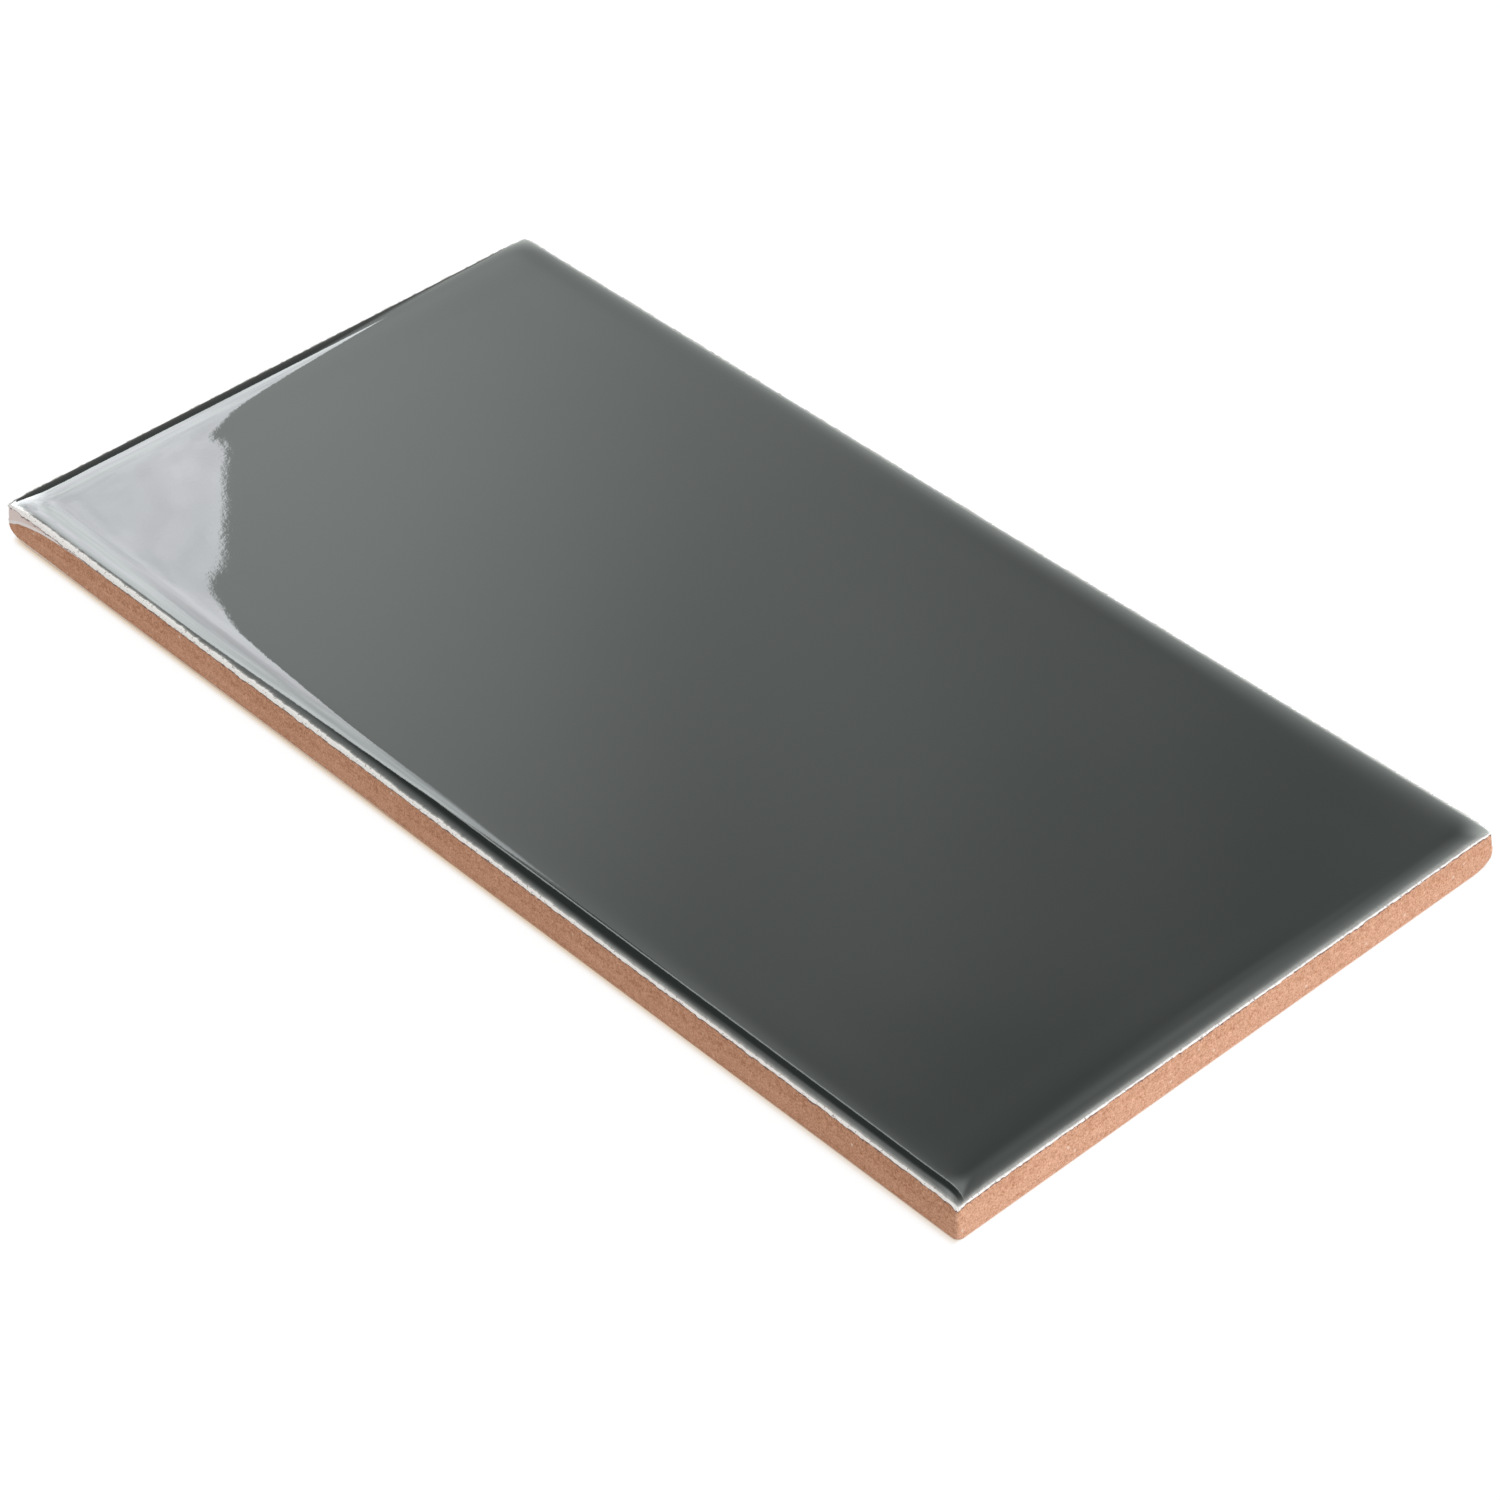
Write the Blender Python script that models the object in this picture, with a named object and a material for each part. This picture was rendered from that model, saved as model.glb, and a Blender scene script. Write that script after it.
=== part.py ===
"""A glazed ceramic wall tile of 200 x 100 mm, pressed and fired as one piece.

The origin is at the middle of the bedding face, +X runs along the length and +Z up through the glazed
face. The solid is a loft of rounded rectangles from the bedding face to the crown of the face, and the
key relief of the back is a pattern of shallow pockets cut into it. All sizes are in metres.
"""

import math

import bmesh
import bpy

# Overall sizes, the plan ones taken at the skirt, where the outline is widest
LENGTH = 0.2000
WIDTH = 0.1000
THICKNESS = 0.0070

# Lower half of the sides: a broken arris, then a foot that swells out to the upright skirt
BACK_ARRIS = 0.00015
FOOT_TAPER = 0.00045
FOOT_CORNER_RADIUS = 0.0025
SKIRT_HEIGHT = 0.0026

# Upper half of the sides: the press step, where the two parts of the die met, then a slight draft
PRESS_STEP_HEIGHT = 0.0037
PRESS_STEP = 0.00007
SIDE_DRAFT = 0.00015
CORNER_RADIUS = 0.0006

# Glazed face: the lip at the glaze line, and the fall from the flat middle down to it
LIP_RADIUS = 0.00050
FALL_REACH = 0.00585
FALL_DEPTH = 0.00027
CORNER_SPREAD = 0.6
FALL_SLOPE = math.atan(3 * FALL_DEPTH / FALL_REACH)
LIP_TOP = THICKNESS - FALL_DEPTH
GLAZE_LINE = LIP_TOP - LIP_RADIUS * math.cos(FALL_SLOPE)

# Key relief of the back: square pockets between ribs, inside a plain border
POCKET_SIDE = 0.0083
POCKET_DEPTH = 0.0007
POCKET_DRAFT = 0.0004
RIB_WIDTH = 0.0020
BORDER_LEAST = 0.0060
CUTTER_CLEARANCE = 0.0005
PITCH = POCKET_SIDE + RIB_WIDTH

# Fineness of the curved stretches
CORNER_STEPS = 5
FOOT_STEPS = 3
LIP_STEPS = 5
FALL_STEPS = 7
SMOOTH_ANGLE = math.radians(30)

# Colours in linear light
CLAY_COLOUR = (0.62, 0.33, 0.21, 1.0)
CLAY_ROUGHNESS = 0.85
GLAZE_COLOUR = (0.031, 0.036, 0.034, 1.0)
GLAZE_ROUGHNESS = 0.08
CLAY, GLAZE = 0, 1


def clear_scene():
    for old in list(bpy.data.objects):
        bpy.data.objects.remove(old, do_unlink=True)


def principled(name, colour, roughness):
    material = bpy.data.materials.new(name)
    material.use_nodes = True
    shader = material.node_tree.nodes["Principled BSDF"]
    shader.inputs["Base Color"].default_value = colour
    shader.inputs["Roughness"].default_value = roughness
    shader.inputs["Metallic"].default_value = 0.0
    material.diffuse_color = colour
    return material


def rounded_rectangle(inset, height, radius):
    """One section of the tile: the outline drawn in by inset, with corners of the given radius."""
    centre_x = LENGTH / 2 - inset - radius
    centre_y = WIDTH / 2 - inset - radius
    points = []
    for corner, (side_x, side_y) in enumerate(((1, 1), (-1, 1), (-1, -1), (1, -1))):
        for step in range(CORNER_STEPS + 1):
            angle = math.radians(90) * (corner + step / CORNER_STEPS)
            x = side_x * centre_x + radius * math.cos(angle)
            y = side_y * centre_y + radius * math.sin(angle)
            points.append((x, y, height))
    return points


def foot_sections():
    """The arris of the back, and above it the foot, which curves out and ends upright at the skirt."""
    sections = [rounded_rectangle(FOOT_TAPER + BACK_ARRIS, 0.0, FOOT_CORNER_RADIUS)]
    for step in range(FOOT_STEPS + 1):
        share = step / FOOT_STEPS
        left = (1 - share) ** 2
        inset = FOOT_TAPER * left
        height = BACK_ARRIS + (SKIRT_HEIGHT - BACK_ARRIS) * share
        radius = CORNER_RADIUS + (FOOT_CORNER_RADIUS - CORNER_RADIUS) * left
        sections.append(rounded_rectangle(inset, height, radius))
    return sections


def upper_side_sections():
    """The skirt up to the press step, the step itself at 45 degrees, and the draft up to the glaze line."""
    return [
        rounded_rectangle(0.0, PRESS_STEP_HEIGHT, CORNER_RADIUS),
        rounded_rectangle(PRESS_STEP, PRESS_STEP_HEIGHT + PRESS_STEP, CORNER_RADIUS),
        rounded_rectangle(PRESS_STEP + SIDE_DRAFT, GLAZE_LINE, CORNER_RADIUS),
    ]


def face_section(run_in, height):
    """A section of the face, whose corners grow rounder the further in it lies."""
    inset = PRESS_STEP + SIDE_DRAFT + run_in
    return rounded_rectangle(inset, height, CORNER_RADIUS + CORNER_SPREAD * run_in)


def lip_sections():
    """An arc from upright at the glaze line round to the slope at which the fall of the face begins."""
    sections = []
    for step in range(1, LIP_STEPS + 1):
        angle = (math.radians(90) - FALL_SLOPE) * step / LIP_STEPS
        run_in = LIP_RADIUS * (1 - math.cos(angle))
        sections.append(face_section(run_in, GLAZE_LINE + LIP_RADIUS * math.sin(angle)))
    return sections


def fall_sections():
    """The face above the lip: a cubic that starts at the lip's slope and runs out level in the middle."""
    start = LIP_RADIUS * (1 - math.sin(FALL_SLOPE))
    sections = []
    for step in range(1, FALL_STEPS + 1):
        share = step / FALL_STEPS
        height = LIP_TOP + FALL_DEPTH * (1 - (1 - share) ** 3)
        sections.append(face_section(start + FALL_REACH * share, height))
    return sections


def loft(clay_sections, glaze_sections):
    """A closed solid through all the sections, with its first and last one capped."""
    mesh = bmesh.new()
    rings = [[mesh.verts.new(point) for point in section] for section in clay_sections + glaze_sections]
    mesh.faces.new(reversed(rings[0])).material_index = CLAY
    for level, (lower, upper) in enumerate(zip(rings, rings[1:]), start=1):
        material = CLAY if level < len(clay_sections) else GLAZE
        for i in range(len(lower)):
            j = (i + 1) % len(lower)
            mesh.faces.new((lower[i], lower[j], upper[j], upper[i])).material_index = material
    mesh.faces.new(rings[-1]).material_index = GLAZE
    return mesh


def add_object(name, mesh, materials):
    data = bpy.data.meshes.new(name)
    mesh.to_mesh(data)
    mesh.free()
    for material in materials:
        data.materials.append(material)
    data.shade_smooth()
    data.set_sharp_from_angle(angle=SMOOTH_ANGLE)
    made = bpy.data.objects.new(name, data)
    bpy.context.scene.collection.objects.link(made)
    return made


def pockets_each_way(size):
    """How many pockets fit along one side of the back, an even number so that a rib runs down the middle."""
    half_field = size / 2 - FOOT_TAPER - BACK_ARRIS - BORDER_LEAST
    return 2 * max(1, math.floor((half_field + RIB_WIDTH / 2) / PITCH))


def pocket_cutter(columns, rows, material):
    """One drafted square pocket at the pattern's low corner, repeated along X and Y by two arrays."""
    mesh = bmesh.new()
    bmesh.ops.create_cube(mesh, size=1.0)
    draft_per_height = POCKET_DRAFT / POCKET_DEPTH
    for vert in mesh.verts:
        height = POCKET_DEPTH if vert.co.z > 0 else -CUTTER_CLEARANCE
        half_side = POCKET_SIDE / 2 - draft_per_height * height
        vert.co.x = math.copysign(half_side, vert.co.x)
        vert.co.y = math.copysign(half_side, vert.co.y)
        vert.co.z = height
    cutter = add_object("pocket_cutter", mesh, [material])
    cutter.location = (-PITCH * (columns - 1) / 2, -PITCH * (rows - 1) / 2, 0.0)
    for axis, count in enumerate((columns, rows)):
        array = cutter.modifiers.new("pattern_" + "xy"[axis], "ARRAY")
        array.count = count
        array.use_relative_offset = False
        array.use_constant_offset = True
        array.constant_offset_displace = [PITCH if i == axis else 0.0 for i in range(3)]
    cutter.hide_render = True
    cutter.display_type = "WIRE"
    return cutter


def cut_key_relief(tile, material):
    cutter = pocket_cutter(pockets_each_way(LENGTH), pockets_each_way(WIDTH), material)
    cutter.parent = tile
    relief = tile.modifiers.new("key_relief", "BOOLEAN")
    relief.operation = "DIFFERENCE"
    relief.solver = "EXACT"
    relief.object = cutter


def main():
    clear_scene()
    clay = principled("fired_clay", CLAY_COLOUR, CLAY_ROUGHNESS)
    glaze = principled("dark_grey_glaze", GLAZE_COLOUR, GLAZE_ROUGHNESS)
    clay_sections = foot_sections() + upper_side_sections()
    glaze_sections = lip_sections() + fall_sections()
    tile = add_object("tile", loft(clay_sections, glaze_sections), [clay, glaze])
    cut_key_relief(tile, clay)


main()
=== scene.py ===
"""The looks of a glazed ceramic wall tile: its mesh and materials, the floor, the studio and the camera."""

import math

import bpy
import numpy as np
from mathutils import Matrix, Vector


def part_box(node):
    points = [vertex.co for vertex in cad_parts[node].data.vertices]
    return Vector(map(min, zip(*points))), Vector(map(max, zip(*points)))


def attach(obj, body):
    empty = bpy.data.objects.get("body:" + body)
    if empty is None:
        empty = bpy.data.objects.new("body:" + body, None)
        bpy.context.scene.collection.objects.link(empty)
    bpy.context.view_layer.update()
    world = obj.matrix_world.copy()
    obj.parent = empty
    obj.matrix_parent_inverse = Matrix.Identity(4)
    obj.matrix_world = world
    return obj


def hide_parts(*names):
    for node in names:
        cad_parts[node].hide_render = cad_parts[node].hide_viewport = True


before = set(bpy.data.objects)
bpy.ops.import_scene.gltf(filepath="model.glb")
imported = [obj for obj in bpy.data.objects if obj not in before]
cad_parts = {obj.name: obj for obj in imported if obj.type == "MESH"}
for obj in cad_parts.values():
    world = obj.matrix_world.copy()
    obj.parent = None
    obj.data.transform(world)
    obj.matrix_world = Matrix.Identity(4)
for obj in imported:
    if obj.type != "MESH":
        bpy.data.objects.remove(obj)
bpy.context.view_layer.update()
_, TILE_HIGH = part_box("tile")

MM = 0.001
HALF_LENGTH = TILE_HIGH[0]
HALF_WIDTH = TILE_HIGH[1]
THICKNESS = TILE_HIGH[2]

# Section of the sides, from the bedding face up
ARRIS = 0.15 * MM
FOOT_TAPER = 0.45 * MM
FOOT_CORNER = 2.5 * MM
NEAR_FOOT_CORNER = 1.1 * MM
SKIRT_HEIGHT = 2.6 * MM
PRESS_STEP_HEIGHT = 3.7 * MM
PRESS_STEP = 0.07 * MM
SIDE_DRAFT = 0.15 * MM
CORNER = 0.35 * MM
LIP_INSET = PRESS_STEP + SIDE_DRAFT

# Section of the glazed face
LIP_RADIUS = 0.5 * MM
FALL_START = 6.5 * MM
FALL_SLOPE_RATE = math.radians(0.244) / MM**2
RIM_SLOPE = math.radians(0.22)
RIM_START = 6.0 * MM
RIM_END = 14.0 * MM
RIM_END_SHORT = 11.5 * MM
CORNER_SPREAD = 0.45
SWELL_SLOPE = math.radians(0.02)
SWELL_WAVES = 14
SWELL_SHORTEST, SWELL_LONGEST = 9 * MM, 34 * MM

# Key relief of the back, as in the CAD, with its edges softened
PITCH = 10.3 * MM
POCKET_COLUMNS, POCKET_ROWS = 18, 8
POCKET_HALF = 4.15 * MM
POCKET_DEPTH = 0.7 * MM
POCKET_DRAFT = 0.4 * MM
POCKET_CORNER = 0.9 * MM
POCKET_LIP = 0.12 * MM
POCKET_FILLET = 0.15 * MM
BORDER_RING_INSET = 2.2 * MM
BORDER_RING_STEP = 8

# Mesh fineness: intervals along each side of the finest ring, and of half a corner
SHORT_STEPS, LONG_STEPS = 480, 960
CORNER_STEPS = 12
SIDE_STEPS = (SHORT_STEPS, LONG_STEPS, SHORT_STEPS, LONG_STEPS)
RING_STEPS = sum(SIDE_STEPS)
POCKET_ARC_STEPS = 3
SMOOTH_ANGLE = math.radians(32)

# Rings of the face from its grid outwards, as the inset in millimetres and the step along the finest ring
GRID_INSET = 10.5 * MM
GRID_STEP = 8
FACE_RINGS = (
    (9.4, 8), (8.4, 8), (7.4, 8), (6.5, 4), (5.8, 4), (5.2, 4), (4.6, 4), (4.0, 2), (3.5, 2), (3.0, 2),
    (2.55, 2), (2.1, 2), (1.7, 2), (1.3, 1), (0.95, 1),
)

GLAZE, CLAY = 0, 1


def outline(inset, radius, step=1, near_radius=None):
    """Points of a rounded rectangle and their outward angles, anticlockwise from the corner at +X -Y."""
    near_radius = radius if near_radius is None else near_radius
    ends = ((near_radius, radius), (radius, radius), (radius, radius), (radius, near_radius))
    points, angles = [], []
    for side, (count, (first, last)) in enumerate(zip(SIDE_STEPS, ends)):
        j = np.arange(0, count, step)
        turn = np.clip(j / CORNER_STEPS - 1, None, 0) + np.clip((j - count) / CORNER_STEPS + 1, 0, None)
        turn = turn * math.radians(45)
        share = np.clip((j - CORNER_STEPS) / (count - 2 * CORNER_STEPS), 0, 1)
        reach, half = (HALF_LENGTH, HALF_WIDTH) if side % 2 == 0 else (HALF_WIDTH, HALF_LENGTH)
        here = np.where(j < count / 2, first, last)
        out = reach - inset - here + here * np.cos(turn)
        along = (first + inset - half) * (1 - share) + (half - inset - last) * share + here * np.sin(turn)
        facing = math.radians(90) * side
        x = out * math.cos(facing) - along * math.sin(facing)
        y = out * math.sin(facing) + along * math.cos(facing)
        points.append(np.stack([x, y], axis=1))
        angles.append(facing + turn)
    return np.concatenate(points), np.concatenate(angles)


def places(counts, step=1):
    """Each ring point's place as side number plus share of that side, on sides of the given counts."""
    return np.concatenate([side + np.arange(0, count, step) / count for side, count in enumerate(counts)])


def wobble(cell, seed):
    """Smooth periodic noise from -1 to 1 along the finest ring, with a new value every cell metres."""
    knots = int(round(2 * (2 * HALF_LENGTH + 2 * HALF_WIDTH) / cell))
    values = np.random.default_rng(seed).uniform(-1, 1, knots)
    place = np.arange(RING_STEPS) / RING_STEPS * knots
    low = np.floor(place).astype(int)
    t = place - low
    t = t * t * (3 - 2 * t)
    return values[low % knots] * (1 - t) + values[(low + 1) % knots] * t


swell = np.random.default_rng(11)
SWELL_LENGTH = swell.uniform(SWELL_SHORTEST, SWELL_LONGEST, SWELL_WAVES)
SWELL_ANGLE = swell.uniform(0, 2 * math.pi, SWELL_WAVES)
SWELL_PHASE = swell.uniform(0, 2 * math.pi, SWELL_WAVES)


def edge_fall(inset, rim_end):
    """How far the face lies below its middle at this distance from one side."""
    fall = FALL_SLOPE_RATE / 3 * np.clip(FALL_START - inset, 0, None) ** 3
    span = rim_end - RIM_START
    t = np.clip((inset - RIM_START) / span, 0, 1)
    # The integral of RIM_SLOPE * 16 t^2 (1 - t)^2, which lets the glaze lie a little lower inside its rim
    dish = RIM_SLOPE * span * 16 * (t**3 / 3 - t**4 / 2 + t**5 / 5)
    return fall + dish


def face_height(x, y):
    height = THICKNESS + 0 * x
    for reach, along, rim_end in ((HALF_LENGTH, x, RIM_END_SHORT), (HALF_WIDTH, y, RIM_END)):
        height = height - edge_fall(reach - along, rim_end) - edge_fall(reach + along, rim_end)
    for length, angle, phase in zip(SWELL_LENGTH, SWELL_ANGLE, SWELL_PHASE):
        wave = (x * math.cos(angle) + y * math.sin(angle)) * 2 * math.pi / length + phase
        amplitude = SWELL_SLOPE / math.sqrt(SWELL_WAVES / 2) * length / (2 * math.pi)
        height = height + amplitude * np.sin(wave)
    return height


def face_normals(x, y):
    delta = 0.02 * MM
    slope_x = (face_height(x + delta, y) - face_height(x - delta, y)) / (2 * delta)
    slope_y = (face_height(x, y + delta) - face_height(x, y - delta)) / (2 * delta)
    normals = np.stack([-slope_x, -slope_y, np.ones_like(x)], axis=1)
    return normals / np.linalg.norm(normals, axis=1, keepdims=True)


class Body:
    """Vertices, faces and per-vertex values, gathered ring by ring."""

    def __init__(self):
        self.points, self.normals, self.depth, self.count = [], [], [], 0
        self.faces, self.materials = [], []

    def add(self, points, depth, normals=None):
        points = np.asarray(points, float)
        self.points.append(points)
        self.normals.append(np.zeros_like(points) if normals is None else normals)
        self.depth.append(np.broadcast_to(np.asarray(depth, float), (len(points),)))
        ids = np.arange(self.count, self.count + len(points))
        self.count += len(points)
        return ids

    def add_face(self, ids, material):
        self.faces.append([int(i) for i in ids])
        self.materials.append(material)

    def face_rows(self, rows, material):
        rows = np.stack(rows, axis=1).tolist()
        self.faces += rows
        self.materials += [material] * len(rows)

    def stitch(self, last, new, material):
        """Faces between one ring and the next, which has as many points, twice as many or half as many."""
        if len(last) == len(new):
            self.face_rows((new, np.roll(new, -1), np.roll(last, -1), last), material)
        elif len(new) == 2 * len(last):
            even, odd, last_next = new[0::2], new[1::2], np.roll(last, -1)
            self.face_rows((even, odd, last), material)
            self.face_rows((odd, last_next, last), material)
            self.face_rows((odd, np.roll(even, -1), last_next), material)
        else:
            even, odd, new_next = last[0::2], last[1::2], np.roll(new, -1)
            self.face_rows((new, odd, even), material)
            self.face_rows((new, new_next, odd), material)
            self.face_rows((new_next, np.roll(even, -1), odd), material)

    def zip_rings(self, last, last_place, new, new_place, material):
        """Triangles between two closed rings of any counts, ordered by their places round the tile."""
        end = len(SIDE_STEPS)
        last_next = [*last_place[1:], end, math.inf]
        new_next = [*new_place[1:], end, math.inf]
        i = j = 0
        while i < len(last) or j < len(new):
            a, b = last[i % len(last)], new[j % len(new)]
            if last_next[i] <= new_next[j]:
                i += 1
                self.add_face((b, last[i % len(last)], a), material)
            else:
                j += 1
                self.add_face((b, new[j % len(new)], a), material)


def corner_radius(inset):
    """It grows inwards, but shrinks again near the grid, so that a ring stays outside the grid's corner."""
    return min(CORNER + CORNER_SPREAD * max(inset - LIP_INSET, 0), 2.2 * (GRID_INSET - inset))


def face_ring(body, inset, step):
    spots, _ = outline(inset, corner_radius(inset), step)
    x, y = spots[:, 0], spots[:, 1]
    run = inset - LIP_INSET - LIP_RADIUS * (1 - math.sin(LIP_SLOPE)) + LIP_ARC
    return body.add(np.column_stack([x, y, face_height(x, y)]), glaze_depth(run, step), face_normals(x, y))


def grid_edge(ids):
    """The ids along the edge of a grid, ordered as the rings are."""
    return np.concatenate([ids[:-1, -1], ids[-1, :0:-1], ids[:0:-1, 0], ids[0, :-1]])


def face_grid(body):
    """The even grid in the middle of the face. Returns the ids along its edge."""
    columns, rows = LONG_STEPS // GRID_STEP, SHORT_STEPS // GRID_STEP
    xs = np.linspace(-1, 1, columns + 1) * (HALF_LENGTH - GRID_INSET)
    ys = np.linspace(-1, 1, rows + 1) * (HALF_WIDTH - GRID_INSET)
    x, y = (v.ravel() for v in np.meshgrid(xs, ys))
    ids = body.add(np.column_stack([x, y, face_height(x, y)]), FULL_DEPTH, face_normals(x, y))
    ids = ids.reshape(rows + 1, columns + 1)
    quads = (ids[:-1, :-1], ids[:-1, 1:], ids[1:, 1:], ids[1:, :-1])
    body.face_rows([q.ravel() for q in quads], GLAZE)
    return grid_edge(ids)


def glazed_top(body):
    ring = face_grid(body)
    for inset, step in FACE_RINGS:
        new = face_ring(body, inset * MM, step)
        body.stitch(ring, new, GLAZE)
        ring = new
    return ring


LIP_SLOPE = FALL_SLOPE_RATE * (FALL_START - LIP_INSET - LIP_RADIUS) ** 2
LIP_ANGLES = [LIP_SLOPE] + [math.radians(v) for v in (20, 32, 44)]
LIP_ARC = LIP_RADIUS * (math.radians(90) - LIP_SLOPE)

# The lower edge of the glaze: how far it bulges out, and the profile of that bulge from its top round to
# the clay, as a share of the bulge outwards and millimetres upwards
BULGE = 0.045 * MM + 0.03 * MM * wobble(1.1 * MM, 4) + 0.02 * MM * wobble(0.5 * MM, 5)
BULGE_PROFILE = ((0.6, 0.06), (1.0, 0.0), (0.7, -0.05), (-0.2, -0.09), (-1.3, -0.08))

# By place round the tile, as side number plus share: how far up from the glaze's edge the white shows, in
# millimetres, partly the ground through the glaze and partly a painted highlight that is widest at the front
# left, how ragged its end is there, and how fast the glaze darkens past it
FULL_DEPTH = 10.0
GROUND_AND_HIGHLIGHT_PLACES = (0.0, 1.0, 2.0, 2.97, 2.99, 3.0, 3.12, 3.25, 3.37, 3.5, 3.7, 3.99, 4.0)
GROUND_AND_HIGHLIGHT_REACH = (0.34, 0.28, 0.10, 0.10, 0.66, 1.00, 0.95, 0.87, 0.80, 0.69, 0.50, 0.46, 0.34)
RAGGED_PLACES = (0.0, 2.99, 3.01, 3.4, 3.7, 4.0)
RAGGED = (0.35, 0.35, 1.0, 1.0, 0.35, 0.35)
FADE_PLACES = (0.0, 2.99, 3.01, 3.45, 3.7, 3.99, 4.0)
FADE_RATE = (1.0, 1.0, 2.4, 2.2, 1.35, 1.35, 1.0)


# The white at the glaze's edge: the ground showing through, widened by a painted highlight at the front left
def ground_and_highlight_shows():
    waver = 0.06 * wobble(3.5 * MM, 6) + 0.09 * wobble(0.9 * MM, 7) + 0.08 * wobble(0.45 * MM, 8)
    place = places(SIDE_STEPS)
    waver = waver * np.interp(place, RAGGED_PLACES, RAGGED)
    return np.interp(place, GROUND_AND_HIGHLIGHT_PLACES, GROUND_AND_HIGHLIGHT_REACH) + waver, np.interp(place, FADE_PLACES, FADE_RATE)


GROUND_AND_HIGHLIGHT, FADE = ground_and_highlight_shows()


def glaze_depth(run, step=1):
    """How deep the glaze looks, from 0 at the end of the white ground and painted highlight, at run metres
    up from its edge.
    """
    return (run / MM - GROUND_AND_HIGHLIGHT[::step]) * FADE[::step]


def glaze_edge():
    """Height of the glaze's lower edge over the centre of the lip, with a drip at the near corner."""
    spots, _ = outline(0.0, CORNER)
    away = np.hypot(spots[:, 0] - HALF_LENGTH, spots[:, 1] + HALF_WIDTH)
    drip = 0.26 * MM * np.exp(-(away / (0.7 * MM)) ** 2)
    waver = 0.06 * wobble(2.6 * MM, 1) + 0.09 * wobble(0.9 * MM, 2) + 0.12 * wobble(0.45 * MM, 3)
    return np.clip(0.21 * MM + waver * MM, -0.05 * MM, 0.29 * MM) - drip


def ring_at(inset, radius, height, step=1, near_radius=None):
    spots, _ = outline(inset, radius, step, near_radius)
    return np.column_stack([spots, np.broadcast_to(height, (len(spots),))])


def lip_base():
    """Height of the lip's top round the tile, which dips a little at the corners."""
    inset = LIP_INSET + LIP_RADIUS * (1 - math.sin(LIP_SLOPE))
    spots, _ = outline(inset, corner_radius(inset))
    return face_height(spots[:, 0], spots[:, 1])


def glazed_lip(body, ring):
    """The round lip and the glaze's edge below it. Returns its last ring and the height of that edge."""
    centre = lip_base() - LIP_RADIUS * math.cos(LIP_SLOPE)
    for angle in LIP_ANGLES:
        inset = LIP_INSET + LIP_RADIUS * (1 - math.sin(angle))
        height = centre + LIP_RADIUS * math.cos(angle)
        run = LIP_RADIUS * (math.radians(90) - angle)
        new = body.add(ring_at(inset, corner_radius(inset), height), glaze_depth(run))
        body.stitch(ring, new, GLAZE)
        ring = new
    edge = centre + glaze_edge()
    spots, facing = outline(LIP_INSET, CORNER)
    out = np.stack([np.cos(facing), np.sin(facing)], axis=1)
    for proud, rise in BULGE_PROFILE:
        spot = spots + out * (BULGE * proud)[:, None]
        new = body.add(np.column_stack([spot, edge + rise * MM]), glaze_depth(0.0))
        body.stitch(ring, new, GLAZE)
        ring = new
    return ring, edge


def side_rows(line):
    """Inset, height, step, corner radius and near corner's radius of each ring of the side, going down."""
    top = line - 0.5 * MM
    step_top = PRESS_STEP_HEIGHT + PRESS_STEP
    rows = [
        (LIP_INSET + 0.04 * MM, top, 2),
        (PRESS_STEP + 0.5 * SIDE_DRAFT, step_top + 0.45 * (top - step_top), 2),
        (PRESS_STEP + 0.02 * MM, step_top + 0.08 * MM, 2),
        (PRESS_STEP, step_top, 2),
        (0.02 * MM, PRESS_STEP_HEIGHT + 0.01 * MM, 2),
        (0.0, PRESS_STEP_HEIGHT - 0.05 * MM, 2),
        (0.0, SKIRT_HEIGHT + 0.5 * MM, 4),
    ]
    rows = [(*row, CORNER, CORNER) for row in rows]
    for share in (1.0, 0.75, 0.5, 0.25, 0.0):
        left = (1 - share) ** 2
        height = ARRIS + (SKIRT_HEIGHT - ARRIS) * share
        radii = [CORNER + (foot - CORNER) * left for foot in (FOOT_CORNER, NEAR_FOOT_CORNER)]
        rows.append((FOOT_TAPER * left, height, 4, *radii))
    rows += [
        (FOOT_TAPER + 0.3 * ARRIS, 0.3 * ARRIS, 4, FOOT_CORNER, NEAR_FOOT_CORNER),
        (FOOT_TAPER + ARRIS, 0.0, 4, FOOT_CORNER, NEAR_FOOT_CORNER),
        (BORDER_RING_INSET, 0.0, BORDER_RING_STEP, FOOT_CORNER, NEAR_FOOT_CORNER),
    ]
    return rows


def clay_side(body, ring, edge):
    """The side from under the glaze to the back. Its depth is the drop in millimetres below the glaze."""
    spots, _ = outline(LIP_INSET + 0.06 * MM, CORNER)
    tuck = 0.10
    new = body.add(np.column_stack([spots, edge - tuck * MM]), tuck)
    body.stitch(ring, new, CLAY)
    ring = new
    for inset, height, step, radius, near_radius in side_rows(float(np.median(edge))):
        drop = (edge[::step] - height) / MM
        new = body.add(ring_at(inset, radius, height, step, near_radius), drop)
        body.stitch(ring, new, CLAY)
        ring = new
    return ring


def pocket_ring(half, height):
    """A rounded square, clockwise seen from above, so that the back faces down."""
    points = []
    for corner in range(4):
        facing = math.radians(45 - 90 * corner)
        for step in range(POCKET_ARC_STEPS + 1):
            turn = facing + math.radians(45) - math.radians(90) * step / POCKET_ARC_STEPS
            x = math.copysign(half - POCKET_CORNER, math.cos(facing)) + POCKET_CORNER * math.cos(turn)
            y = math.copysign(half - POCKET_CORNER, math.sin(facing)) + POCKET_CORNER * math.sin(turn)
            points.append((x, y, height))
    return np.array(points)


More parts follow.
